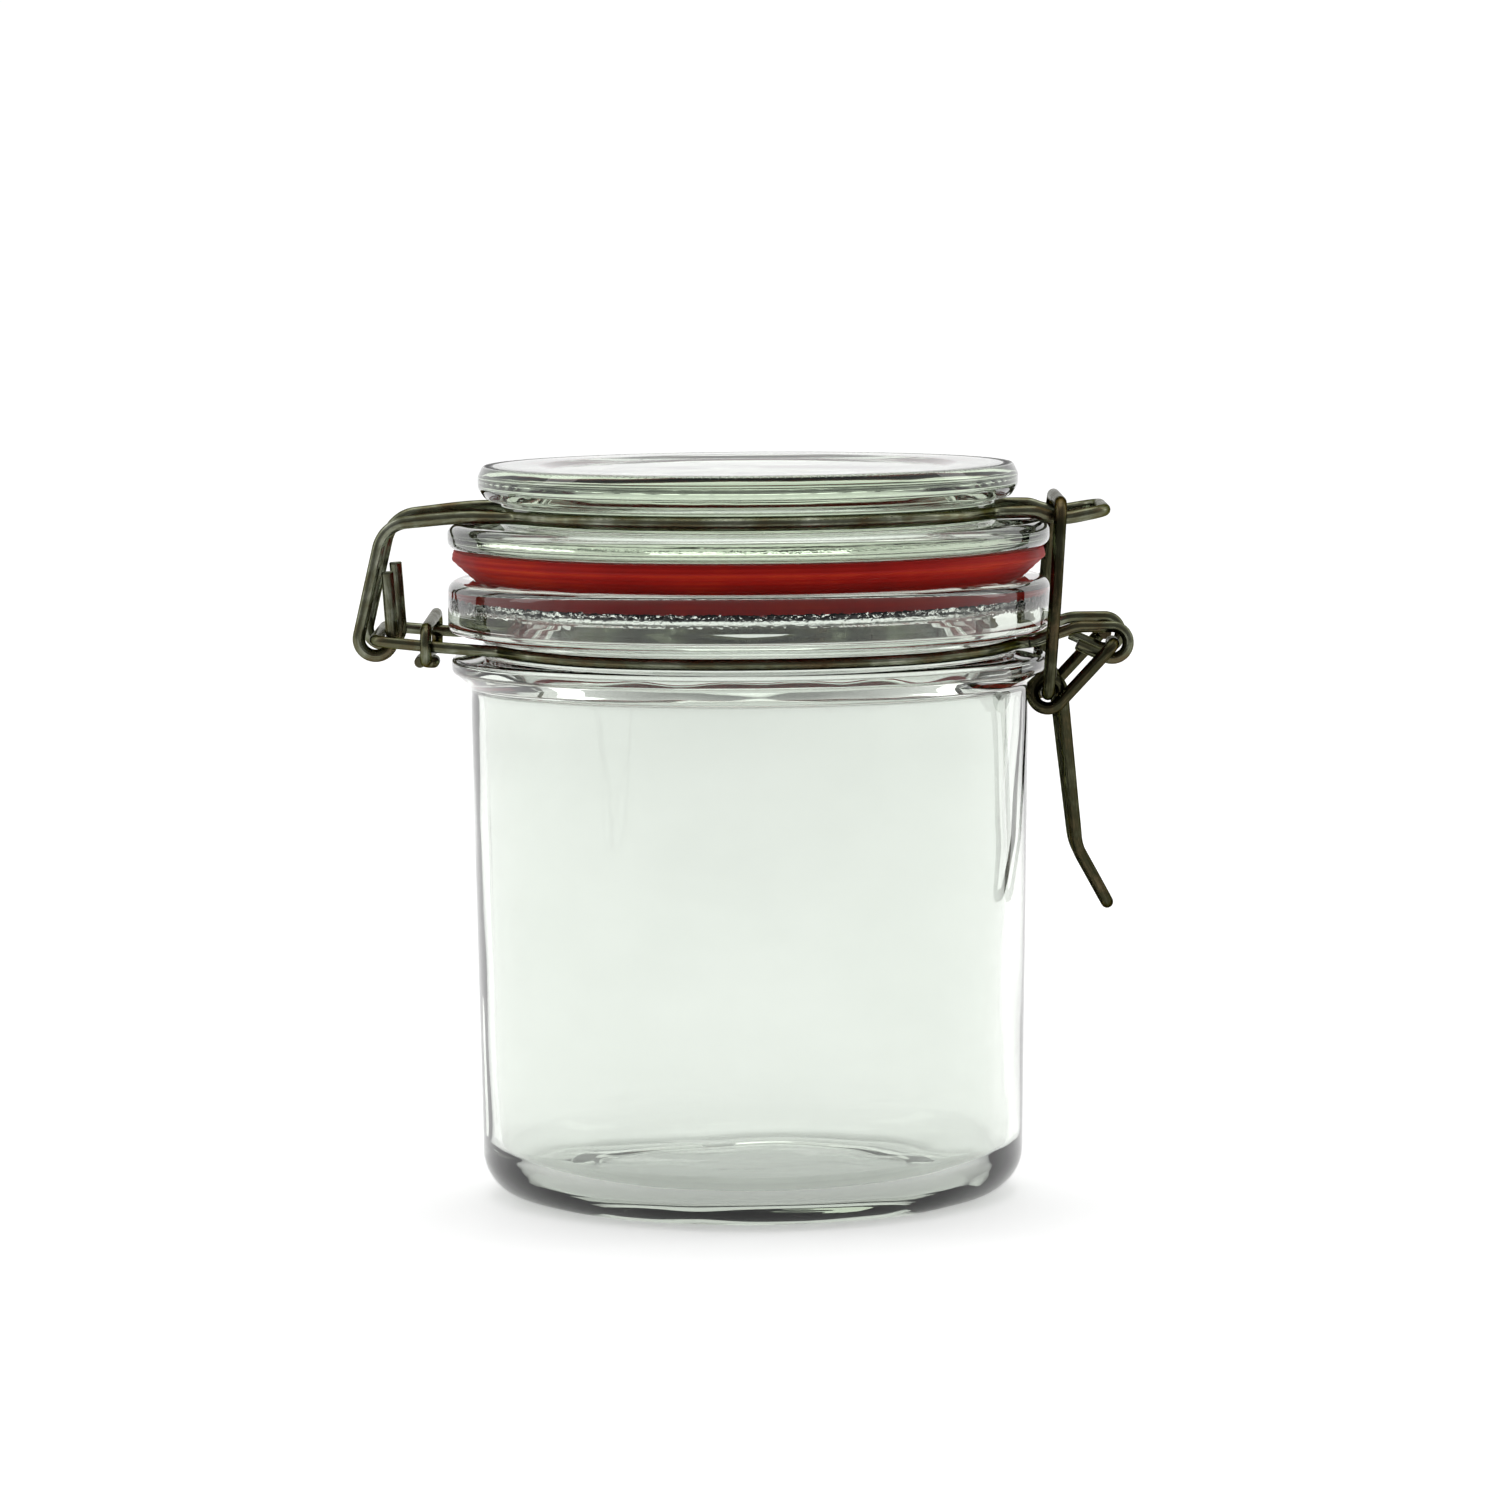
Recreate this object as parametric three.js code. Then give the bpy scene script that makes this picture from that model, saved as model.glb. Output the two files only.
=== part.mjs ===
// Wire-bail glass canister: a glass jar with a glass lid, a rubber gasket and a bent-wire latch.
// Millimetres, +Z up. The jar's axis is Z, its foot stands on Z = 0, the latch is at +X and the
// hinge at -X. Every wire is symmetric about the XZ plane, except the clip's overlapping ends.
import * as THREE from "three";

// ---- Driving dimensions -------------------------------------------------------------------

const WIRE_GAP = 0.3; // gap between a wire and the groove that it lies in
const LATHE_SIDES = 56; // sides of a turned piece
const WIRE_SIDES = 8; // sides of a wire
const BEND_STEP = 18; // degrees between the sections of a tight bend
const RING_STEP = 7.5; // degrees between the sections of a wire around the neck

const SPRING_WIRE = 1.05; // radius of the bail's, lever's and link's wire
const BAND_WIRE = 0.95; // radius of the neck band's and clip's wire

const JAR = {
  standRadius: 37.5, // outer edge of the ring that the jar stands on
  recessRadius: 30.5, // edge of the hollow under the foot
  recessFlat: 25.7,
  recessDepth: 1.5,
  footRadius: 44.8, // outside of the wall, just above the foot
  footHeight: 8.5,
  wallRadius: 46.0, // outside of the wall, under the bead
  wallTop: 84.0,
  beadRadius: 49.1,
  beadHeight: 87.9,
  grooveRadius: 44.0, // bottom of the groove that holds the neck band
  grooveHeight: 90.9,
  collarRadius: 49.6,
  rimHeight: 101.9,
  seat: { outer: [44.8, 101.5], inner: [41.0, 98.3] }, // ends of the cone that carries the gasket
  mouthRadius: 40.0,
  mouthTop: 97.4,
  shoulderHeight: 88.0, // where the mouth widens into the body
  insideRadius: 42.6,
  insideFootRadius: 41.6,
  floorHeight: 4.2,
  floorCorner: 5.5,
};

const LID = {
  plugRadius: 39.4,
  plugWall: 4.0,
  plugBottom: 98.4,
  hollowTop: 106.0, // ceiling of the hollow inside the plug
  coneBottom: 101.9, // the cone under the flange that presses on the gasket
  coneRadius: 44.75,
  flangeRadius: 49.6,
  flangeBottom: 107.0,
  flangeTop: 111.1,
  grooveRadius: 40.7, // bottom of the groove that holds the bail
  discRadius: 44.5,
  topRadius: 42.5,
  top: 120.5,
  dish: 0.6, // how far the middle of the top lies under its rim
  dishRadius: 33.0,
};

const GASKET = { inner: 40.3, outer: 49.0, bottom: 98.85, top: 106.75 };

const HINGE = new THREE.Vector2(-60.9, 93.0); // X and Z of the axle that the lid swings on
const AXLE_HALF = 17.0; // half the distance between the strands that carry the axle
const HOOK_Y = 12.8; // half the distance between the bail's two hooks
const HOOK_BEND = 2.75;
const HOOK_LEAN = 13; // degrees that a hook's long leg leans back from upright
const STUB_LEAN = 4; // degrees that a hook's cut end leans towards the long leg
const STUB_TOP = 104.0;

const KNEE_HEIGHT = 111.7; // where a hook's leg bends over towards the lid's groove
const KNEE_BEND = 5.5;
const LEG_SPREAD = 3.6; // how far a leg spreads outwards between its hook and the groove

const EYE = new THREE.Vector2(59.3, 91.4); // X and Z of the lever's pivot in the band's eyes
const EYE_Y = 11.5;
const EYE_BEND = 2.6;
const EYE_SWEEP = 205; // degrees of the bend round the pivot
const EYE_TAIL = new THREE.Vector3(-4.7, 0, 2.15); // from that bend to the wire's cut end
const STRAND_FOOT = 47.2; // X where the eye's strand meets the neck groove
const STRAND_CREST = 53.6; // X where that strand is level with the top of the eye
const AXLE_SPREAD = 1.9; // how far a strand spreads outwards between the axle and the groove
const COIL = new THREE.Vector2(48.5, 83.5); // X and Z of the link's pivot in the lever's coils
const COIL_BEND = 2.45;
const ARM_Y = 16.4; // the lever's arms, between eye and coil
const HANDLE_Y = 13.9; // the same wire after one turn of the coil
const HANDLE_KINK = new THREE.Vector3(53.7, 5.4, 57.2); // where the handle turns outwards
const HANDLE_END = new THREE.Vector3(58.9, 2.6, 47.6); // corner of the handle's narrow tip
const HANDLE_LEAN = 6.6; // degrees that the handle leans out from upright
const LINK_Y = 18.9;
const LINK_TOP = new THREE.Vector3(50.9, 14.6, 114.4); // corner of the link's cross bar

const BAND_HEIGHT = 90.8; // centre of the neck band in its groove
const AXLE_CLIMB = -22; // X where the neck band starts to climb towards the axle
const EYE_CLIMB = 25; // X where it starts to climb towards the eyes
const EYE_RISE = 0.85; // how far it climbs before it leaves the groove at the latch
const BAIL_HEIGHT = 112.9; // centre of the bail in the lid's groove
const NOSE = new THREE.Vector3(58.3, 10.0, 112.9); // corner of the bail's nose
const DIP = new THREE.Vector3(50.9, 12.0, 111.6); // low point of the nose, under the link

const CLIP_X = -52.4;
const CLIP_HALF = new THREE.Vector2(20.3, 2.75); // half width and half height of the clip
const CLIP_HEIGHT = 92.25;
const CLIP_ENDS = { back: 7, front: 4 }; // how far each cut end runs along the bottom

const GLASS = { color: 0xe2e9e2, roughness: 0.04, metalness: 0 };
const RUBBER = { color: 0xb0341c, roughness: 0.55, metalness: 0 };
const STEEL = { color: 0x6a6b58, roughness: 0.38, metalness: 0.85 };

// ---- Small helpers ------------------------------------------------------------------------

const radians = THREE.MathUtils.degToRad;
const point = (x, y, z) => new THREE.Vector3(x, y, z);

// Points of an arc about centre, in the plane of the unit vectors across and up.
function arc(centre, across, up, radius, from, to, step) {
  const steps = Math.max(2, Math.ceil(Math.abs(to - from) / radians(step)));
  const points = [];
  for (let i = 0; i <= steps; i++) {
    const angle = from + ((to - from) * i) / steps;
    const spoke = across.clone().multiplyScalar(Math.cos(angle));
    spoke.addScaledVector(up, Math.sin(angle));
    points.push(centre.clone().addScaledVector(spoke, radius));
  }
  return points;
}

const alongX = point(1, 0, 0);
const alongY = point(0, 1, 0);
const alongZ = point(0, 0, 1);

// An arc in an upright plane, Y = y, about the point (X, Z) of a Vector2.
function uprightArc(centre, y, radius, from, to) {
  const middle = point(centre.x, y, centre.y);
  return arc(middle, alongX, alongZ, radius, radians(from), radians(to), BEND_STEP);
}

// A wire's centre line through stops, each [point, bend radius]: the corner at a stop is rounded
// to that radius, and a stop without a radius is an end.
function bent(stops) {
  const line = [];
  stops.forEach(([corner, radius], i) => {
    if (!radius) {
      line.push(corner.clone());
      return;
    }
    const back = stops[i - 1][0].clone().sub(corner).normalize();
    const on = stops[i + 1][0].clone().sub(corner).normalize();
    const half = back.angleTo(on) / 2;
    const outward = back.clone().add(on).normalize().negate();
    const centre = corner.clone().addScaledVector(outward, -radius / Math.sin(half));
    const start = corner.clone().addScaledVector(back, radius / Math.tan(half));
    const across = start.sub(centre).normalize();
    const up = outward.clone().addScaledVector(across, -outward.dot(across)).normalize();
    line.push(...arc(centre, across, up, radius, 0, Math.PI - 2 * half, BEND_STEP));
  });
  return line;
}

// The bend that brings a level wire, running towards the jar along heading, into a ring around
// the Z axis. side is +1 where the wire turns left into the ring and -1 where it turns right.
function entryToRing(start, heading, ringRadius, bendRadius, side) {
  const normal = new THREE.Vector2(-heading.y, heading.x).multiplyScalar(side);
  const centre = new THREE.Vector2(start.x, start.y).addScaledVector(normal, bendRadius);
  const reach = ringRadius + bendRadius;
  const along = centre.dot(heading);
  const travel = -along - Math.sqrt(along ** 2 - centre.lengthSq() + reach ** 2);
  centre.addScaledVector(heading, travel);
  const from = Math.atan2(-normal.y, -normal.x);
  const turn = side * (Math.atan2(-centre.y, -centre.x) - from);
  const sweep = ((turn % (2 * Math.PI)) + 2 * Math.PI) % (2 * Math.PI);
  const middle = point(centre.x, centre.y, start.z);
  return arc(middle, alongX, alongY, bendRadius, from, from + side * sweep, BEND_STEP);
}

// The stretch of a ring around the Z axis from one point on it to another, clockwise from above.
function ringBetween(start, end) {
  const radius = Math.hypot(start.x, start.y);
  const from = Math.atan2(start.y, start.x);
  const to = Math.atan2(end.y, end.x);
  const centre = point(0, 0, start.z);
  const last = to > from ? to - 2 * Math.PI : to;
  return arc(centre, alongX, alongY, radius, from, last, RING_STEP).slice(1, -1);
}

// A whole symmetric wire from its near half, which ends on the XZ plane.
function withMirror(half) {
  const other = half.slice(0, -1).map((p) => point(p.x, -p.y, p.z));
  return [...half, ...other.reverse()];
}

// A path that passes through every point of a centre line, one extrusion step for each.
class WirePath extends THREE.Curve {
  constructor(points) {
    super();
    this.points = points;
  }
  getPoint(t, target = new THREE.Vector3()) {
    const at = t * (this.points.length - 1);
    const i = Math.min(Math.floor(at), this.points.length - 2);
    return target.lerpVectors(this.points[i], this.points[i + 1], at - i);
  }
  getUtoTmapping(u) {
    return u;
  }
}

function wire(name, points, radius) {
  const section = new THREE.Shape();
  section.absarc(0, 0, radius, 0, 2 * Math.PI, false);
  const geometry = new THREE.ExtrudeGeometry(section, {
    steps: points.length - 1,
    curveSegments: WIRE_SIDES / 2,
    bevelEnabled: false,
    extrudePath: new WirePath(points),
  });
  return named(name, geometry, STEEL);
}

function named(name, geometry, finish) {
  const mesh = new THREE.Mesh(geometry, new THREE.MeshStandardMaterial(finish));
  mesh.name = name;
  return mesh;
}

// A turned solid about the Z axis from its outline of [radius, height] points.
function turned(outline) {
  const profile = outline.map(([radius, height]) => new THREE.Vector2(radius, height));
  return new THREE.LatheGeometry(profile, LATHE_SIDES).rotateX(Math.PI / 2);
}

// Outline points of a round corner: a quarter turn about (radius, height) between two angles.
function corner(radius, height, size, from, to, steps) {
  const points = [];
  for (let i = 0; i <= steps; i++) {
    const angle = radians(from + ((to - from) * i) / steps);
    points.push([radius + size * Math.cos(angle), height + size * Math.sin(angle)]);
  }
  return points;
}

// ---- Glass and rubber ---------------------------------------------------------------------

function jar() {
  const j = JAR;
  const footCorner = j.footRadius - j.standRadius;
  const insideCorner = j.insideFootRadius - j.floorCorner;
  const outline = [
    [0, j.recessDepth],
    [j.recessFlat, j.recessDepth],
    [j.recessRadius, 0],
    ...corner(j.standRadius, footCorner, footCorner, -90, -8, 5),
    [j.footRadius, j.footHeight],
    [j.wallRadius, j.wallTop - 6],
    [j.wallRadius, j.wallTop],
    [47.4, 85.6],
    [48.6, 86.8],
    [j.beadRadius, j.beadHeight],
    [48.6, 88.9],
    [46.6, 89.4],
    [j.grooveRadius + 0.3, 89.6],
    [j.grooveRadius, j.grooveHeight - 0.6],
    [j.grooveRadius, j.grooveHeight + 0.9],
    [45.2, 92.7],
    [48.2, 93.4],
    [49.3, 94.3],
    [j.collarRadius, 95.6],
    [j.collarRadius, 99.6],
    [49.2, 100.9],
    [48.4, 101.6],
    [47.2, j.rimHeight],
    j.seat.outer,
    j.seat.inner,
    [j.mouthRadius, j.mouthTop],
    [j.mouthRadius, j.shoulderHeight + 4],
    [j.insideRadius, j.shoulderHeight - 3],
    [j.insideFootRadius, j.floorHeight + j.floorCorner],
    ...corner(insideCorner, j.floorHeight + j.floorCorner, j.floorCorner, -15, -90, 4),
    [0, j.floorHeight],
  ];
  return named("jar", turned(outline), GLASS);
}

function lid() {
  const l = LID;
  const inside = l.plugRadius - l.plugWall;
  const outline = [
    [0, l.hollowTop],
    [inside - 4, l.hollowTop],
    [inside - 0.6, l.hollowTop - 3],
    [inside, l.plugBottom + 0.6],
    [inside + 0.8, l.plugBottom],
    [l.plugRadius - 0.9, l.plugBottom],
    [l.plugRadius, l.plugBottom + 0.9],
    [l.plugRadius, l.coneBottom],
    [l.coneRadius, l.flangeBottom],
    [48.2, l.flangeBottom],
    [49.3, 107.6],
    [l.flangeRadius, 108.5],
    [l.flangeRadius, 109.6],
    [49.1, 110.7],
    [47.8, l.flangeTop],
    [l.grooveRadius + 0.6, l.flangeTop],
    [l.grooveRadius, l.flangeTop + 0.5],
    [l.grooveRadius, 114.3],
    [41.2, 114.8],
    [42.8, 115.2],
    [44.1, 116.3],
    [l.discRadius, 117.7],
    [44.2, 119.0],
    [43.5, 120.0],
    [l.topRadius, l.top],
    [l.dishRadius + 2, l.top],
    [l.dishRadius, l.top - l.dish],
    [0, l.top - l.dish],
  ];
  return named("lid", turned(outline), GLASS);
}

// The ring lies on the jar's cone and under the lid's, and its outer edge stands out as a lip.
function gasket() {
  const g = GASKET;
  const outline = [
    [g.inner, g.bottom + 0.75],
    [g.inner + 0.9, g.bottom],
    [g.outer - 0.2, 105.2],
    [g.outer, 105.6],
    [g.outer - 0.4, g.top],
    [45.0, g.top],
    [g.inner, 102.2],
    [g.inner, g.bottom + 0.75],
  ];
  return named("gasket", turned(outline), RUBBER);
}

// ---- Wires --------------------------------------------------------------------------------

// How far the neck band has climbed at x, from the middle of its groove towards either end.
function bandClimb(x) {
  const toAxle = THREE.MathUtils.clamp((x - AXLE_CLIMB) / (HINGE.x - AXLE_CLIMB), 0, 1);
  const toEye = THREE.MathUtils.clamp((x - EYE_CLIMB) / (STRAND_FOOT - EYE_CLIMB), 0, 1);
  return (HINGE.y - BAND_HEIGHT) * toAxle ** 2 + EYE_RISE * toEye ** 2;
}

// One wire: eye, strand, half of the neck groove, strand and axle, and the same again mirrored.
function neckBand() {
  const ring = JAR.grooveRadius + BAND_WIRE + WIRE_GAP;
  const foot = point(STRAND_FOOT, -EYE_Y, BAND_HEIGHT);
  const latchEntry = entryToRing(foot, new THREE.Vector2(-1, 0), ring, 3.5, 1);

  const leave = point(-48.6, -AXLE_HALF - AXLE_SPREAD, BAND_HEIGHT);
  const axleEnd = point(HINGE.x, -AXLE_HALF, BAND_HEIGHT);
  const backwards = new THREE.Vector2(leave.x - axleEnd.x, leave.y - axleEnd.y).normalize();
  const hingeEntry = entryToRing(leave, backwards, ring, 3.5, -1).reverse();
  const middle = leave.clone().lerp(axleEnd, 0.4);
  const axle = bent([[middle], [axleEnd, 2.9], [point(HINGE.x, 0, BAND_HEIGHT)]]);

  const around = ringBetween(latchEntry[latchEntry.length - 1], hingeEntry[0]);
  const level = [...latchEntry, ...around, ...hingeEntry, leave, ...axle];
  const climbing = level.map((p) => p.clone().setZ(p.z + bandClimb(p.x)));

  const eye = uprightArc(EYE, -EYE_Y, EYE_BEND, 90 - EYE_SWEEP, 90);
  const eyeEnd = eye[0].clone().add(EYE_TAIL);
  const strand = bent([
    [eye[eye.length - 1]],
    [point(STRAND_CREST, -EYE_Y, EYE.y + EYE_BEND), 7],
    [climbing[0], 6],
    [climbing[1]],
  ]);
  const half = [eyeEnd, ...eye, ...strand.slice(1), ...climbing.slice(2)];
  return wire("neck_band", withMirror(half), BAND_WIRE);
}

// A flat oval of wire round the band's two strands. Its cut ends pass side by side underneath.
function bandClip() {
  const step = BAND_WIRE + 0.15;
  const flat = CLIP_HALF.x - CLIP_HALF.y;
  const far = point(CLIP_X, flat, CLIP_HEIGHT);
  const near = point(CLIP_X, -flat, CLIP_HEIGHT);
  const right = radians(90);
  const farEnd = arc(far, alongY, alongZ, CLIP_HALF.y, -right, right, BEND_STEP);
  const nearEnd = arc(near, alongY, alongZ, CLIP_HALF.y, right, 3 * right, BEND_STEP);
  const bottom = CLIP_HEIGHT - CLIP_HALF.y;
  const line = [
    point(CLIP_X - step, -flat, bottom),
    point(CLIP_X - step, CLIP_ENDS.back - flat, bottom),
    ...farEnd,
    ...nearEnd.slice(0, -1),
    point(CLIP_X + step, -flat, bottom),
    point(CLIP_X + step, CLIP_ENDS.front - flat, bottom),
  ];
  return wire("band_clip", line, BAND_WIRE);
}

// One wire: hook, strand, half of the lid's groove and half of the nose, and the same mirrored.
function lidBail() {
  const ring = LID.grooveRadius + SPRING_WIRE + WIRE_GAP;
  const lean = radians(HOOK_LEAN);
  const hook = uprightArc(HINGE, -HOOK_Y, HOOK_BEND, 3, -180 - HOOK_LEAN);
  const stubRise = STUB_TOP - hook[0].z;
  const stubShift = -stubRise * Math.tan(radians(STUB_LEAN));
  const stubEnd = hook[0].clone().add(point(stubShift, 0, stubRise));
  const foot = hook[hook.length - 1];
  const legRise = KNEE_HEIGHT - foot.z;
  const knee = foot.clone().add(point(legRise * Math.tan(lean), 0, legRise));
  const leave = point(-46.6, -HOOK_Y - LEG_SPREAD, BAIL_HEIGHT);
  const leg = bent([[foot], [knee, KNEE_BEND], [leave]]);
  const inward = new THREE.Vector2(leave.x - knee.x, leave.y - knee.y).normalize();
  const hingeEntry = entryToRing(leave, inward, ring, 4, -1);

  const nose = bent([
    [point(NOSE.x, 0, NOSE.z)],
    [point(NOSE.x, -NOSE.y, NOSE.z), 4],
    [point(DIP.x, -DIP.y, DIP.z), 9],
    [point(46.5, -DIP.y - 0.7, BAIL_HEIGHT)],
  ]);
  const tail = nose[nose.length - 1];
  const heading = new THREE.Vector2(tail.x - DIP.x, tail.y + DIP.y).normalize();
  const latchEntry = entryToRing(tail, heading, ring, 4, 1);

  const around = ringBetween(latchEntry[latchEntry.length - 1], hingeEntry[hingeEntry.length - 1]);
  const noseToHook = [...nose, ...latchEntry, ...around, ...hingeEntry.reverse()];
  noseToHook.push(...leg.reverse(), ...hook.reverse().slice(1), stubEnd);
  return wire("lid_bail", withMirror(noseToHook.reverse()), SPRING_WIRE);
}

// One wire: pivot tip, arm, one turn of coil and half of the handle, and the same mirrored.
function latchLever() {
  const toCoil = new THREE.Vector2().subVectors(COIL, EYE);
  const armHeading = toCoil.angle() + Math.asin(COIL_BEND / toCoil.length());
  const coilStart = THREE.MathUtils.radToDeg(armHeading) + 90;
  const coil = uprightArc(COIL, -ARM_Y, COIL_BEND, coilStart, HANDLE_LEAN);
  coil.forEach((p, i) => {
    p.y += ((ARM_Y - HANDLE_Y) * i) / (coil.length - 1);
  });
  const arm = bent([
    [point(EYE.x, -EYE_Y + 2.0, EYE.y)],
    [point(EYE.x, -ARM_Y, EYE.y), 2.2],
    [coil[0]],
  ]);
  const handle = bent([
    [coil[coil.length - 1]],
    [point(HANDLE_KINK.x, -HANDLE_KINK.y, HANDLE_KINK.z), 9],
    [point(HANDLE_END.x, -HANDLE_END.y, HANDLE_END.z), 2.2],
    [point(HANDLE_END.x, 0, HANDLE_END.z)],
  ]);
  return wire("latch_lever", withMirror([...arm, ...coil.slice(1, -1), ...handle]), SPRING_WIRE);
}

// One wire: foot through the coil, leg and half of the cross bar, and the same mirrored.
function latchLink() {
  const top = point(LINK_TOP.x, -LINK_TOP.y, LINK_TOP.z);
  const heel = point(COIL.x, -LINK_Y, COIL.y);
  const waist = heel.clone().lerp(top, 0.52).setY(-LINK_Y);
  const half = bent([
    [point(COIL.x, -HANDLE_Y + 1.7, COIL.y)],
    [heel, 1.8],
    [waist, 14],
    [top, 3.6],
    [point(top.x, 0, top.z)],
  ]);
  return wire("latch_link", withMirror(half), SPRING_WIRE);
}

const canister = new THREE.Group();
canister.add(jar(), lid(), gasket(), neckBand(), bandClip(), lidBail(), latchLever(), latchLink());

export default canister;
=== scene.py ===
"""The looks of a clip-top glass canister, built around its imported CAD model.

The glass and the rubber ring are turned from outlines in millimetres. Each wire follows the centre
line of its CAD node. Everything is in the CAD frame: the jar's axis is Z, the latch is at +X.
"""

import math

import bpy
import numpy as np
from mathutils import Matrix, Quaternion, Vector, noise


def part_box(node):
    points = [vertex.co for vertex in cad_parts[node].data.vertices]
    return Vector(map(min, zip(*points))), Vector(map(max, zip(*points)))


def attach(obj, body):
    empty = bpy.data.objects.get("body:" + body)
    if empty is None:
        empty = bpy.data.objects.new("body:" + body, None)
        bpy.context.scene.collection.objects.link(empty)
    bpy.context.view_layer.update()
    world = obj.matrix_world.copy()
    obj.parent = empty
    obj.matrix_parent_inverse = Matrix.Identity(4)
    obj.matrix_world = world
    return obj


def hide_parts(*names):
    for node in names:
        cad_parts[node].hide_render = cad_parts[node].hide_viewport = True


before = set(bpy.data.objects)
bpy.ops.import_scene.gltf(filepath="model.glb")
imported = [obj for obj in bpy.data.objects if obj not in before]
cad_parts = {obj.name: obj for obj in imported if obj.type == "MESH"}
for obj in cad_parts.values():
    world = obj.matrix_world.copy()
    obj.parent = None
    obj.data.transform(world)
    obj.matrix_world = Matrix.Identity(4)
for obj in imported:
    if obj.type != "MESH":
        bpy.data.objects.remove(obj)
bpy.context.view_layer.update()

MM = 0.001

# ---- Driving sizes, in millimetres -----------------------------------------------------------

JAR_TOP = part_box("jar")[1].z / MM
COLLAR_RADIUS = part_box("jar")[1].x / MM
LID_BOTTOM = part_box("lid")[0].z / MM
LID_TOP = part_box("lid")[1].z / MM
FLANGE_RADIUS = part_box("lid")[1].x / MM
RING_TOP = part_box("gasket")[1].z / MM
RING_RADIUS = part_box("gasket")[1].x / MM

FOOT_RADIUS = 44.8
FOOT_CORNER = 7.3
RECESS_DEPTH = 1.5  # of the hollow under the foot
WALL_RADIUS = 46.0
BEAD_RADIUS = 49.1
NECK_RADIUS = 44.0
MOUTH_RADIUS = 40.0
INSIDE_RADIUS = 42.6
FLOOR_HEIGHT = 4.2
FLOOR_DISH = 0.35  # how far the middle of the floor lies under the ring around it
SEAT_OUTER = (44.8, 101.5)  # ends of the cone that the rubber ring lies on, radius and height
SEAT_INNER = (41.0, 98.3)
SEAM_ANGLES = (math.radians(-126), math.radians(54))  # where the mould's two halves met
SEAM_WIDTH = 1.0
SEAM_SCALE = 1.0012  # how far a seam stands out
WAVY = (10.0, 88.0)  # lowest and highest point of the wavy part of the inside
WAVE_DEPTHS = (0.22, 0.2)  # of its upright streaks and of its broad swells
FLOOR_ZONE = 12.0  # what lies inside the jar and under this height belongs to the floor
FLOOR_WAVE = 0.22
SEAM_FOOT = 93.0  # the seams show above this height

DISC_RADIUS = 44.5
LID_NECK_RADIUS = 40.7
PLUG_RADIUS = 39.4
HOLLOW_RADIUS = 35.4
HOLLOW_TOP = 106.0
FLANGE_BOTTOM = 107.0
FLANGE_TOP = 111.1
TOP_DISH = 0.6  # how far the middle of the lid's top lies under its edge
LID_WAVE = 0.25  # how wavy the ceiling of the lid's hollow is

KNURLS = 204  # small beads round the edge of the lid's top
KNURL_RADIUS = 42.75
KNURL_WIDTH = 1.5
KNURL_DEPTH = 0.6

RING_INNER = 40.3
RING_RIDGES = 7.0  # radians of the ridges on the rubber's edge for each millimetre of height
RING_RIDGE = 0.05  # height of a ridge, and of the ragged edge
RING_INSET = 0.08  # keeps the ridges inside the ring's outline
RING_SIDES = 320

WIRE_SIDES = 8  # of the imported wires
SECTION_SIDES = 20  # of the wires made here
WIRE_STEP = 0.45  # between two sections
WIRE_CHAMFER = 0.14  # at a cut end
WIRE_WAVE = 0.012  # depth of a drawn wire's waves
JAR_SIDES = 360

# ---- Mesh helpers ------------------------------------------------------------------------------


def fillet(before, corner, after, radius, step):
    """Points of the arc that rounds a corner of an outline."""
    back = (before - corner).normalized()
    on = (after - corner).normalized()
    half = back.angle(on) / 2
    reach = radius / math.tan(half)
    centre = corner + (back + on).normalized() * (radius / math.sin(half))
    start = corner + back * reach - centre
    turn = start.angle_signed(corner + on * reach - centre)
    count = max(2, math.ceil(math.degrees(abs(turn)) / step))
    points = []
    for i in range(count + 1):
        angle = -turn * i / count
        spun = Matrix.Rotation(angle, 2) @ start
        points.append(centre + spun)
    return points


def outline_of(stops, step=9, longest=3.0):
    """A dense outline through stops, each (radius, height) or (radius, height, corner radius)."""
    places = [Vector(s[:2]) for s in stops]
    points = [places[0]]
    for i in range(1, len(stops) - 1):
        size = stops[i][2] if len(stops[i]) > 2 else 0
        if size:
            points += fillet(places[i - 1], places[i], places[i + 1], size, step)
        else:
            points.append(places[i])
    points.append(places[-1])
    dense = [points[0]]
    for a, b in zip(points, points[1:]):
        pieces = max(1, math.ceil((b - a).length / longest))
        dense += [a.lerp(b, k / pieces) for k in range(1, pieces + 1)]
    return dense


def mesh_object(name, corners, faces, smooth_faces=None):
    mesh = bpy.data.meshes.new(name)
    mesh.from_pydata(corners, [], faces)
    mesh.validate()
    flags = np.ones(len(mesh.polygons), bool) if smooth_faces is None else smooth_faces
    mesh.polygons.foreach_set("use_smooth", flags)
    piece = bpy.data.objects.new(name, mesh)
    bpy.context.scene.collection.objects.link(piece)
    return piece


def turned(name, outline, sides, shift=None):
    """A solid turned about Z. shift(place) moves a point, in mm, to shape the surface."""
    on_axis = outline[0].x == 0
    rings = outline[1:-1] if on_axis else outline[:-1]
    corners = []
    for spot in rings:
        for k in range(sides):
            angle = 2 * math.pi * k / sides
            place = Vector((spot.x * math.cos(angle), spot.x * math.sin(angle), spot.y))
            corners.append((shift(place) if shift else place) * MM)
    faces = []
    last = len(rings) - 1
    for i in range(last if on_axis else last + 1):
        low, high = i * sides, ((i + 1) % len(rings)) * sides
        for k in range(sides):
            n = (k + 1) % sides
            faces.append((low + k, low + n, high + n, high + k))
    if on_axis:
        corners += [Vector((0, 0, outline[0].y)) * MM, Vector((0, 0, outline[-1].y)) * MM]
        start, end = len(corners) - 2, len(corners) - 1
        for k in range(sides):
            n = (k + 1) % sides
            faces.append((start, n, k))
            faces.append((last * sides + k, last * sides + n, end))
    return mesh_object(name, corners, faces)


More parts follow.
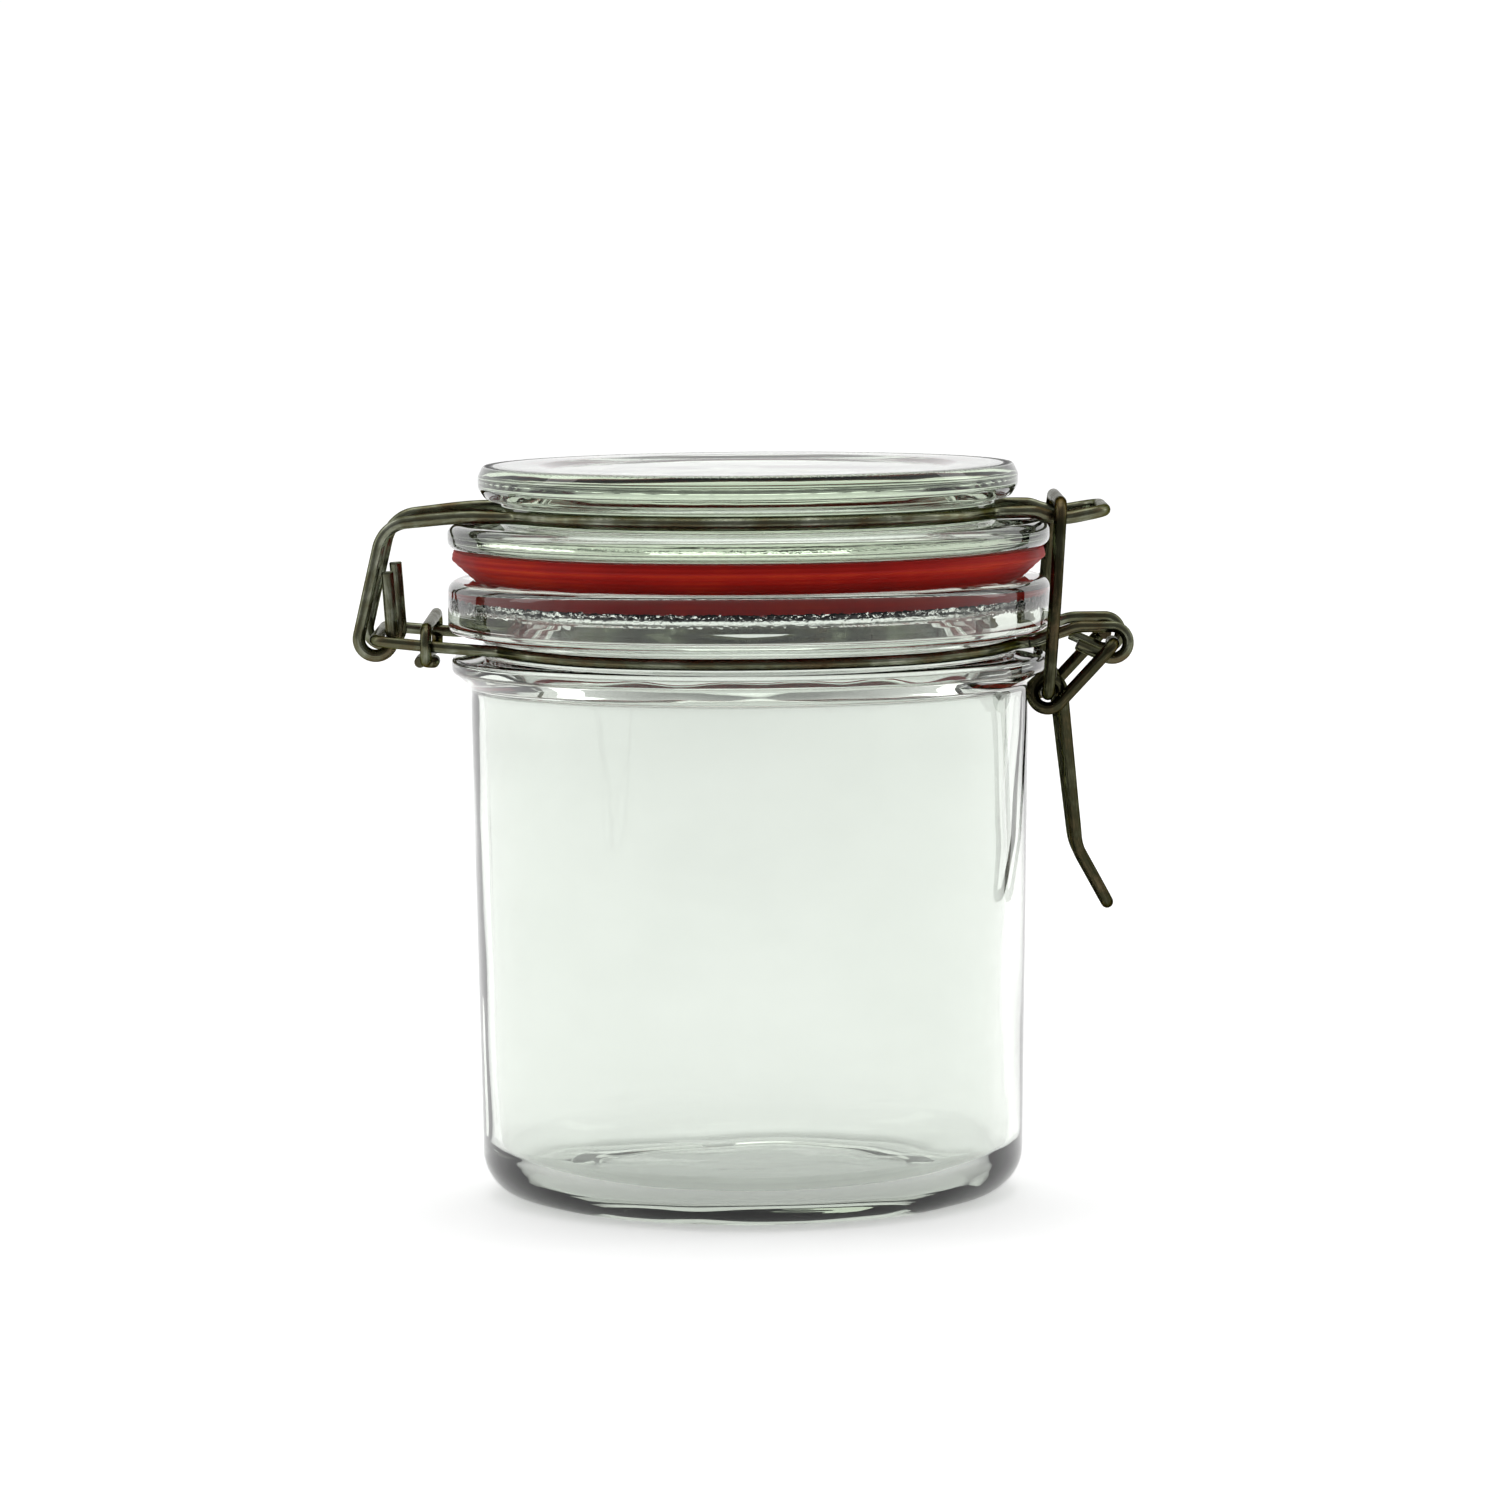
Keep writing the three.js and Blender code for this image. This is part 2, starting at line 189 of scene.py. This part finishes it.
def centre_line(node):
    """The middle of each ring of corners of a packed wire, from one cut end to the other."""
    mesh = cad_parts[node].data
    spots = {}
    index = []
    for v in mesh.vertices:
        index.append(spots.setdefault(tuple(round(c * 1e6) for c in v.co), len(spots)))
    corners = [Vector(spot) * 1e-6 for spot in spots]
    near = [set() for _ in corners]
    for face in mesh.polygons:
        ids = [index[v] for v in face.vertices]
        for a, b in zip(ids, ids[1:] + ids[:1]):
            near[a].add(b)
            near[b].add(a)
    tip = min(range(len(corners)), key=lambda i: len(near[i]))
    around = {tip}
    for _ in range(WIRE_SIDES // 2):
        around |= {n for i in around for n in near[i]}
    ring = set(sorted(around, key=lambda i: (corners[i] - corners[tip]).length)[:WIRE_SIDES])
    seen = set(ring)
    line = []
    while ring:
        if len(ring) != WIRE_SIDES:
            raise ValueError(f"{node} has a ring of {len(ring)} corners")
        middle = sum((corners[i] for i in ring), Vector()) / WIRE_SIDES
        line.append(middle)
        ring = {n for i in ring for n in near[i]} - seen
        seen |= ring
    radius = (corners[tip] - line[0]).length
    return line, radius


def smooth_line(points, step):
    """A curve through the points. Where a bend meets a straight, its direction is the straight's."""
    tangents = []
    for i in range(len(points)):
        direction = Vector()
        for a, b in ((i - 1, i), (i, i + 1)):
            if a >= 0 and b < len(points):
                chord = points[b] - points[a]
                direction += chord.normalized() * chord.length**3
        tangents.append(direction.normalized())
    line = [points[0]]
    for i in range(len(points) - 1):
        a, b = points[i], points[i + 1]
        reach = (b - a).length
        pieces = max(1, math.ceil(reach / step))
        for k in range(1, pieces + 1):
            t = k / pieces
            line.append(
                a * (2 * t**3 - 3 * t**2 + 1)
                + tangents[i] * reach * (t**3 - 2 * t**2 + t)
                + b * (3 * t**2 - 2 * t**3)
                + tangents[i + 1] * reach * (t**3 - t**2)
            )
    return line


def wire(name, node, body, finish):
    """A round wire along a CAD node's centre line, with cut ends and a drawn wire's faint waves."""
    points, radius = centre_line(node)
    line = smooth_line(points, WIRE_STEP * MM)
    chamfer = WIRE_CHAMFER * MM
    start = (line[1] - line[0]).normalized()
    end = (line[-1] - line[-2]).normalized()
    stations = [(line[0], radius - chamfer), (line[0] + start * chamfer, radius)]
    stations += [(spot, radius) for spot in line[1:-1]]
    stations += [(line[-1] - end * chamfer, radius), (line[-1], radius - chamfer)]
    side = start.orthogonal().normalized()
    heading = start
    corners, coords = [], []
    travelled = 0.0
    for i, (spot, size) in enumerate(stations):
        ahead = stations[min(i + 1, len(stations) - 1)][0] - stations[max(i - 1, 0)][0]
        ahead.normalize()
        side = heading.rotation_difference(ahead) @ side
        side = (side - ahead * side.dot(ahead)).normalized()
        heading = ahead
        up = ahead.cross(side)
        if i:
            travelled += (spot - stations[i - 1][0]).length
        for k in range(SECTION_SIDES):
            angle = 2 * math.pi * k / SECTION_SIDES
            spoke = side * math.cos(angle) + up * math.sin(angle)
            wave = noise.noise(Vector((travelled / MM * 0.22, k * 0.35, len(name))))
            corners.append(spot + spoke * (size + (wave - 1) * WIRE_WAVE * MM))
            coords.append((travelled / MM, math.cos(angle), math.sin(angle)))
    faces = []
    for i in range(len(stations) - 1):
        for k in range(SECTION_SIDES):
            n = (k + 1) % SECTION_SIDES
            a, b = i * SECTION_SIDES, (i + 1) * SECTION_SIDES
            faces.append((a + k, a + n, b + n, b + k))
    last = (len(stations) - 1) * SECTION_SIDES
    faces.append(tuple(reversed(range(SECTION_SIDES))))
    faces.append(tuple(last + k for k in range(SECTION_SIDES)))
    flags = np.ones(len(faces), bool)
    flags[-2:] = False
    piece = mesh_object(name, corners, faces, flags)
    along = piece.data.attributes.new("along", "FLOAT_VECTOR", "POINT")
    along.data.foreach_set("vector", np.array(coords, np.float32).ravel())
    piece.data.materials.append(finish)
    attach(piece, body)
    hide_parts(node)
    return piece


# ---- Materials ---------------------------------------------------------------------------------


class Nodes:
    """A material's node tree, with short calls to add and join nodes."""

    def __init__(self, name):
        self.material = bpy.data.materials.new(name)
        self.material.use_nodes = True
        self.tree = self.material.node_tree
        self.tree.nodes.clear()
        self.output = self.add("ShaderNodeOutputMaterial")

    def add(self, kind, **settings):
        node = self.tree.nodes.new(kind)
        for key, value in settings.items():
            if key.startswith("in_"):
                node.inputs[key[3:].replace("_", " ")].default_value = value
            else:
                setattr(node, key, value)
        return node

    def join(self, source, target):
        self.tree.links.new(source, target)

    def noise(self, vector, scale, detail=4.0, roughness=0.55, distortion=0.0):
        node = self.add("ShaderNodeTexNoise", in_Scale=scale, in_Detail=detail)
        node.inputs["Roughness"].default_value = roughness
        node.inputs["Distortion"].default_value = distortion
        self.join(vector, node.inputs["Vector"])
        return node.outputs["Fac"]

    def stretch(self, vector, scale):
        node = self.add("ShaderNodeMapping")
        node.inputs["Scale"].default_value = scale
        self.join(vector, node.inputs["Vector"])
        return node.outputs["Vector"]

    def ramp(self, value, stops):
        node = self.add("ShaderNodeValToRGB")
        element = node.color_ramp.elements
        while len(element) < len(stops):
            element.new(0.5)
        for spot, (position, colour) in zip(element, stops):
            spot.position = position
            spot.color = (*colour, 1)
        self.join(value, node.inputs["Fac"])
        return node.outputs["Color"]

    def span(self, value, low, high, to_low, to_high, kind="LINEAR"):
        node = self.add("ShaderNodeMapRange", interpolation_type=kind)
        for name, number in (
            ("From Min", low),
            ("From Max", high),
            ("To Min", to_low),
            ("To Max", to_high),
        ):
            node.inputs[name].default_value = number
        self.join(value, node.inputs["Value"])
        return node.outputs["Result"]

    def math(self, kind, a, b):
        node = self.add("ShaderNodeMath", operation=kind)
        for socket, value in zip(node.inputs, (a, b)):
            if isinstance(value, (int, float)):
                socket.default_value = value
            else:
                self.join(value, socket)
        return node.outputs["Value"]

    def bump(self, height, strength, distance, before=None):
        node = self.add("ShaderNodeBump", in_Strength=strength, in_Distance=distance)
        self.join(height, node.inputs["Height"])
        if before is not None:
            self.join(before, node.inputs["Normal"])
        return node.outputs["Normal"]


GLASS_TINT = (0.66, 0.78, 0.56)  # of light that has gone through thick glass
GLASS_DENSITY = 12.0
HAMMER_EDGE = 0.5  # how softly the hammered band fades, in millimetres


def glass(name, mottle_low, mottle_high, mottle):
    """Clear pressed glass, hammered with strength mottle between two heights in millimetres."""
    n = Nodes(name)
    place = n.add("ShaderNodeTexCoord").outputs["Object"]
    shader = n.add("ShaderNodeBsdfPrincipled", in_IOR=1.52, in_Transmission_Weight=1.0)
    shader.inputs["Specular IOR Level"].default_value = 0.5
    cloud = n.noise(place, 45, 3)
    colour = n.ramp(cloud, [(0.3, (0.792, 0.818, 0.790)), (0.7, (0.812, 0.836, 0.810))])
    n.join(colour, shader.inputs["Base Color"])
    grease = n.noise(n.stretch(place, (1, 1, 0.4)), 120, 5)
    n.join(n.span(grease, 0.55, 0.8, 0.0, 0.025), shader.inputs["Roughness"])
    height = n.add("ShaderNodeSeparateXYZ")
    n.join(place, height.inputs["Vector"])
    edge = HAMMER_EDGE * MM
    low, high = mottle_low * MM, mottle_high * MM
    above = n.span(height.outputs["Z"], low - edge, low + edge, 0, 1)
    below = n.span(height.outputs["Z"], high - edge, high + edge, 1, 0)
    band = n.math("MULTIPLY", above, below)
    waves = n.bump(n.noise(n.stretch(place, (1, 1, 0.35)), 60, 2), 0.05, 1.0 * MM)
    hammer = n.math("MULTIPLY", n.noise(place, 900, 2), band)
    n.join(n.bump(hammer, mottle, 0.25 * MM, waves), shader.inputs["Normal"])
    n.join(shader.outputs["BSDF"], n.output.inputs["Surface"])
    volume = n.add("ShaderNodeVolumeAbsorption", in_Density=GLASS_DENSITY)
    volume.inputs["Color"].default_value = (*GLASS_TINT, 1)
    n.join(volume.outputs["Volume"], n.output.inputs["Volume"])
    return n.material


def rubber():
    """Natural red rubber, cut from an extruded tube: fine lines run round its edge."""
    n = Nodes("red_rubber")
    place = n.add("ShaderNodeTexCoord").outputs["Object"]
    shader = n.add("ShaderNodeBsdfPrincipled", in_IOR=1.5)
    shader.inputs["Subsurface Weight"].default_value = 0.15
    shader.inputs["Subsurface Radius"].default_value = (1.0, 0.25, 0.1)
    shader.inputs["Subsurface Scale"].default_value = 2.0 * MM
    lines = n.noise(n.stretch(place, (6, 6, 1100)), 1.0, 3)
    cloud = n.noise(place, 70, 4)
    mixed = n.math("ADD", n.math("MULTIPLY", lines, 0.6), n.math("MULTIPLY", cloud, 0.4))
    colour = n.ramp(
        mixed,
        [(0.28, (0.17, 0.004, 0.003)), (0.50, (0.30, 0.006, 0.003)), (0.72, (0.46, 0.040, 0.007))],
    )
    n.join(colour, shader.inputs["Base Color"])
    n.join(n.span(cloud, 0.3, 0.7, 0.45, 0.7), shader.inputs["Roughness"])
    shader.inputs["Specular IOR Level"].default_value = 0.12
    n.join(n.bump(lines, 0.45, 0.15 * MM), shader.inputs["Normal"])
    n.join(shader.outputs["BSDF"], n.output.inputs["Surface"])
    return n.material


def steel(name, seed, clean, dull):
    """Galvanised drawn wire, dulled olive-grey, with brown tarnish in patches."""
    n = Nodes(name)
    place = n.add("ShaderNodeTexCoord").outputs["Object"]
    along = n.add("ShaderNodeAttribute", attribute_name="along").outputs["Vector"]
    shader = n.add("ShaderNodeBsdfPrincipled", in_Metallic=1.0)
    shifted = n.add("ShaderNodeMapping")
    shifted.inputs["Location"].default_value = (seed, seed * 0.37, -seed)
    n.join(place, shifted.inputs["Vector"])
    spot = shifted.outputs["Vector"]
    patches = n.noise(spot, 150, 6, 0.62, 0.3)
    streaks = n.noise(n.stretch(along, (0.16, 3.5, 3.5)), 2.4, 5, 0.6)
    mixed = n.math("ADD", n.math("MULTIPLY", patches, 0.65), n.math("MULTIPLY", streaks, 0.35))
    colour = n.ramp(
        mixed, [(0.34, clean), (0.50, dull), (0.60, (0.09, 0.070, 0.038)), (0.72, (0.05, 0.028, 0.014))]
    )
    n.join(colour, shader.inputs["Base Color"])
    shader.inputs["Specular Tint"].default_value = (0.30, 0.30, 0.25, 1)
    n.join(n.span(mixed, 0.35, 0.65, 0.14, 0.30), shader.inputs["Roughness"])
    pits = n.noise(spot, 1600, 3)
    drawn = n.bump(streaks, 0.22, 0.05 * MM)
    n.join(n.bump(pits, 0.16, 0.04 * MM, drawn), shader.inputs["Normal"])
    n.join(shader.outputs["BSDF"], n.output.inputs["Surface"])
    return n.material


# ---- Glass -------------------------------------------------------------------------------------


def smooth_step(value, low, high):
    t = min(1.0, max(0.0, (value - low) / (high - low)))
    return t * t * (3 - 2 * t)


def jar_shape(place):
    """Shapes the turned jar: the mould's seams, and an inside that is a little wavy."""
    radius = math.hypot(place.x, place.y)
    angle = math.atan2(place.y, place.x)
    outside = radius > INSIDE_RADIUS + 0.9
    if not outside and WAVY[0] < place.z < WAVY[1] and radius > 38:
        streak = noise.noise(Vector((angle * 4.0, place.z * 0.012, 7.7)))
        swell = noise.noise(Vector((angle * 1.6, place.z * 0.05, 1.3)))
        scale = 1 + (WAVE_DEPTHS[0] * streak + WAVE_DEPTHS[1] * swell) / radius
        return Vector((place.x * scale, place.y * scale, place.z))
    if not outside and place.z < FLOOR_ZONE and radius > 3:
        lift = noise.noise(Vector((place.x * 0.07, place.y * 0.07, 2.2)))
        return place + Vector((0, 0, FLOOR_WAVE * lift * smooth_step(radius, 3, 12)))
    if outside and place.z > SEAM_FOOT:
        for seam in SEAM_ANGLES:
            gap = abs((angle - seam + math.pi) % (2 * math.pi) - math.pi) * radius
            if gap < SEAM_WIDTH / 2:
                return Vector((place.x * SEAM_SCALE, place.y * SEAM_SCALE, place.z))
    return place


def make_jar():
    stops = [
        (0, RECESS_DEPTH),
        (25.7, RECESS_DEPTH, 0.9),
        (30.5, 0.0, 1.6),
        (FOOT_RADIUS, 0.0, FOOT_CORNER),
        (FOOT_RADIUS + 0.02, 8.5, 1.0),
        (WALL_RADIUS, 78.0, 8.0),
        (WALL_RADIUS, 84.4, 1.6),
        (BEAD_RADIUS, 86.9, 1.0),
        (BEAD_RADIUS, 89.1, 0.85),
        (NECK_RADIUS, 89.6, 0.6),
        (NECK_RADIUS, 92.2, 0.9),
        (COLLAR_RADIUS, 93.5, 1.3),
        (COLLAR_RADIUS, JAR_TOP, 1.9),
        (45.4, JAR_TOP, 0.4),
        SEAT_OUTER,
        (*SEAT_INNER, 0.5),
        (MOUTH_RADIUS, 97.4, 0.8),
        (MOUTH_RADIUS, 91.0, 3.0),
        (INSIDE_RADIUS, 85.0, 4.0),
        (41.5, FLOOR_HEIGHT, 5.5),
        (26.5, FLOOR_HEIGHT, 0.8),
        (25.6, FLOOR_HEIGHT - FLOOR_DISH, 0.8),
        (0, FLOOR_HEIGHT - FLOOR_DISH),
    ]
    jar = turned("glass_jar", outline_of(stops, 9, 1.6), JAR_SIDES, jar_shape)
    jar.data.materials.append(glass("jar_glass", 97.3, 99.3, 0.3))
    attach(jar, "jar_body")
    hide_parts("jar")


def lid_shape(place):
    """Presses the ring of small beads into the lid's top edge, and makes its hollow wavy."""
    radius = math.hypot(place.x, place.y)
    if place.z > LID_TOP - 1.2 and abs(radius - KNURL_RADIUS) < KNURL_WIDTH / 2:
        angle = math.atan2(place.y, place.x)
        across = math.cos(math.pi * (radius - KNURL_RADIUS) / KNURL_WIDTH)
        notch = 0.5 - 0.5 * math.cos(angle * KNURLS)
        return place - Vector((0, 0, KNURL_DEPTH * across * notch))
    if LID_BOTTOM + 1 < place.z < HOLLOW_TOP + 0.5 and radius < PLUG_RADIUS - 1:
        angle = math.atan2(place.y, place.x)
        swell = noise.noise(Vector((2.2 * math.cos(angle), 2.2 * math.sin(angle), place.z * 0.1)))
        return place + Vector((0, 0, LID_WAVE * swell * smooth_step(radius, 2, 20)))
    return place


def make_lid():
    inner = KNURL_RADIUS - KNURL_WIDTH / 2
    steps = 6
    knurl = [(inner + KNURL_WIDTH * i / steps, LID_TOP) for i in range(steps + 1)]
    stops = [
        (0, HOLLOW_TOP),
        (HOLLOW_RADIUS - 2.2, HOLLOW_TOP, 2.2),
        (HOLLOW_RADIUS, LID_BOTTOM, 0.8),
        (PLUG_RADIUS, LID_BOTTOM, 0.9),
        (PLUG_RADIUS, 101.9, 1.0),
        (44.75, FLANGE_BOTTOM, 0.8),
        (FLANGE_RADIUS, FLANGE_BOTTOM, 1.5),
        (FLANGE_RADIUS, FLANGE_TOP, 1.8),
        (LID_NECK_RADIUS, FLANGE_TOP, 0.6),
        (LID_NECK_RADIUS, 114.5, 0.6),
        (43.3, 115.2, 1.6),
        (DISC_RADIUS, 116.9, 1.6),
        (DISC_RADIUS, 118.9, 1.6),
        (43.7, LID_TOP, 0.3),
        *reversed(knurl),
        (34.5, LID_TOP, 3.0),
        (32.0, LID_TOP - TOP_DISH, 3.0),
        (0, LID_TOP - TOP_DISH),
    ]
    lid = turned("glass_lid", outline_of(stops, 12, 2.5), KNURLS * 4, lid_shape)
    lid.data.materials.append(glass("lid_glass", 107.6, 109.8, 0.08))
    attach(lid, "lid_body")
    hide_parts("lid")


def make_ring():
    """The rubber ring: a lip at the top, and a finely ridged bevel that lies on the jar's seat."""
    middle = (RING_INNER, 101.0)
    stops = [
        (RING_INNER, 99.3, 0.3),
        (SEAT_INNER[0] + 0.1, SEAT_INNER[1] + 0.03, 0.3),
        (SEAT_OUTER[0], SEAT_OUTER[1] - 0.05),
        (RING_RADIUS - 0.2, 105.1, 0.25),
        (RING_RADIUS, 105.5, 0.3),
        (RING_RADIUS - 0.4, RING_TOP, 0.25),
        (45.0, RING_TOP, 0.5),
        (RING_INNER, 102.2, 0.3),
    ]
    closed = [middle, *stops, middle]

    def layers(place):
        radius = math.hypot(place.x, place.y)
        if place.z < JAR_TOP - 0.6 or place.z > RING_TOP - 0.1:
            return place
        angle = math.atan2(place.y, place.x)
        ridge = RING_RIDGE * math.sin(place.z * RING_RIDGES)
        around = Vector((6 * math.cos(angle), 6 * math.sin(angle), place.z))
        ragged = RING_RIDGE * noise.noise(around)
        scale = 1 + (ridge + ragged - RING_INSET) / radius
        return Vector((place.x * scale, place.y * scale, place.z))

    ring = turned("sealing_ring", outline_of(closed, 15, 0.22), RING_SIDES, layers)
    ring.data.materials.append(rubber())
    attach(ring, "lid_body")
    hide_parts("gasket")


make_jar()
make_lid()
make_ring()

# ---- Wires -------------------------------------------------------------------------------------

# Each finish: the seed of its pattern, its colour where it is clean and where it is dull.
band_finish = steel("band_wire", 1.7, (0.26, 0.27, 0.21), (0.095, 0.10, 0.06))
bail_finish = steel("bail_wire", 4.1, (0.30, 0.31, 0.25), (0.12, 0.125, 0.08))
latch_finish = steel("latch_wire", 8.3, (0.10, 0.10, 0.062), (0.028, 0.028, 0.014))
wire("neck_band_wire", "neck_band", "jar_body", band_finish)
wire("clip_wire", "band_clip", "jar_body", band_finish)
wire("bail_wire", "lid_bail", "bail_body", bail_finish)
wire("lever_wire", "latch_lever", "lever_body", latch_finish)
wire("link_wire", "latch_link", "link_body", latch_finish)

# ---- Studio ------------------------------------------------------------------------------------

FLOOR_RADIUS = 3.0
FLOOR_RINGS = 5
FLOOR_SIDES = 64
FLOOR_DROP = 0.1 * MM
FLOOR_GLOW = 0.34  # emission of the floor, which fades out in front of the jar
WORLD_FRONT = 0.30  # light of the studio in front of the jar
WORLD_BACK = 1.04
BOX_RADIANCE = 1.6  # of every soft light


def make_floor():
    """A round pale floor that glows a little, except far in front of the jar."""
    corners, faces = [Vector((0, 0, 0))], []
    for i in range(1, FLOOR_RINGS + 1):
        radius = FLOOR_RADIUS * i / FLOOR_RINGS
        for k in range(FLOOR_SIDES):
            angle = 2 * math.pi * k / FLOOR_SIDES
            corners.append(Vector((radius * math.cos(angle), radius * math.sin(angle), 0)))
    for k in range(FLOOR_SIDES):
        after = (k + 1) % FLOOR_SIDES
        faces.append((0, 1 + k, 1 + after))
        for i in range(FLOOR_RINGS - 1):
            a = 1 + i * FLOOR_SIDES
            b = a + FLOOR_SIDES
            faces.append((a + k, b + k, b + after, a + after))
    floor = mesh_object("floor", corners, faces)
    floor.location.z = -FLOOR_DROP
    n = Nodes("pale_floor")
    place = n.add("ShaderNodeTexCoord").outputs["Object"]
    shader = n.add("ShaderNodeBsdfPrincipled", in_Roughness=0.7)
    colour = n.ramp(n.noise(place, 30, 3), [(0.3, (0.90, 0.90, 0.90)), (0.7, (0.93, 0.93, 0.93))])
    n.join(colour, shader.inputs["Base Color"])
    shader.inputs["Emission Color"].default_value = (1, 1, 1, 1)
    across = n.add("ShaderNodeSeparateXYZ")
    n.join(place, across.inputs["Vector"])
    glow = n.span(across.outputs["Y"], -1.1, -0.3, 0.0, FLOOR_GLOW, "SMOOTHSTEP")
    n.join(glow, shader.inputs["Emission Strength"])
    n.join(shader.outputs["BSDF"], n.output.inputs["Surface"])
    floor.data.materials.append(n.material)


def make_world():
    """A white studio, bright behind the jar and overhead, and darker in front of it."""
    world = bpy.data.worlds.new("studio")
    world.use_nodes = True
    tree = world.node_tree
    tree.nodes.clear()
    where = tree.nodes.new("ShaderNodeTexCoord")
    split = tree.nodes.new("ShaderNodeSeparateXYZ")
    tree.links.new(where.outputs["Generated"], split.inputs["Vector"])
    shade = tree.nodes.new("ShaderNodeMapRange")
    shade.interpolation_type = "SMOOTHSTEP"
    shade.inputs["From Min"].default_value = -0.8
    shade.inputs["From Max"].default_value = 0.45
    shade.inputs["To Min"].default_value = WORLD_FRONT
    shade.inputs["To Max"].default_value = WORLD_BACK
    tree.links.new(split.outputs["Y"], shade.inputs["Value"])
    back = tree.nodes.new("ShaderNodeBackground")
    back.inputs["Color"].default_value = (1, 1, 1, 1)
    tree.links.new(shade.outputs["Result"], back.inputs["Strength"])
    out = tree.nodes.new("ShaderNodeOutputWorld")
    tree.links.new(back.outputs["Background"], out.inputs["Surface"])
    bpy.context.scene.world = world


def softbox(name, place, target, width, height, radiance):
    light = bpy.data.lights.new(name, "AREA")
    light.shape = "RECTANGLE"
    light.size, light.size_y = width, height
    light.energy = radiance * math.pi * width * height
    lamp = bpy.data.objects.new(name, light)
    bpy.context.scene.collection.objects.link(lamp)
    lamp.location = place
    lamp.rotation_mode = "QUATERNION"
    lamp.rotation_quaternion = (Vector(target) - Vector(place)).to_track_quat("-Z", "Y")


CAMERA_DISTANCE = 1.088
CAMERA_HEIGHT = 0.172
CAMERA_PITCH = 5.19  # degrees that it looks down
CAMERA_ROLL = -0.45
FOCAL_LENGTH = 158.6  # in millimetres


def make_camera():
    camera = bpy.data.cameras.new("camera")
    camera.lens = FOCAL_LENGTH
    camera.clip_end = 20
    eye = bpy.data.objects.new("camera", camera)
    bpy.context.scene.collection.objects.link(eye)
    eye.location = (0, -CAMERA_DISTANCE, CAMERA_HEIGHT)
    tilt = Quaternion((1, 0, 0), math.radians(90 - CAMERA_PITCH))
    roll = Quaternion((0, 0, 1), math.radians(CAMERA_ROLL))
    eye.rotation_mode = "QUATERNION"
    eye.rotation_quaternion = tilt @ roll
    bpy.context.scene.camera = eye


make_floor()
make_world()
softbox("overhead", (0.0, 0.25, 1.3), (0, 0, 0.05), 0.9, 0.9, BOX_RADIANCE)
softbox("left_strip", (-0.95, 0.1, 0.6), (0, 0, 0.07), 0.25, 0.9, BOX_RADIANCE)
softbox("right_strip", (0.95, 0.3, 0.6), (0, 0, 0.07), 0.25, 0.9, BOX_RADIANCE)
make_camera()
bpy.context.scene.view_settings.view_transform = "Standard"
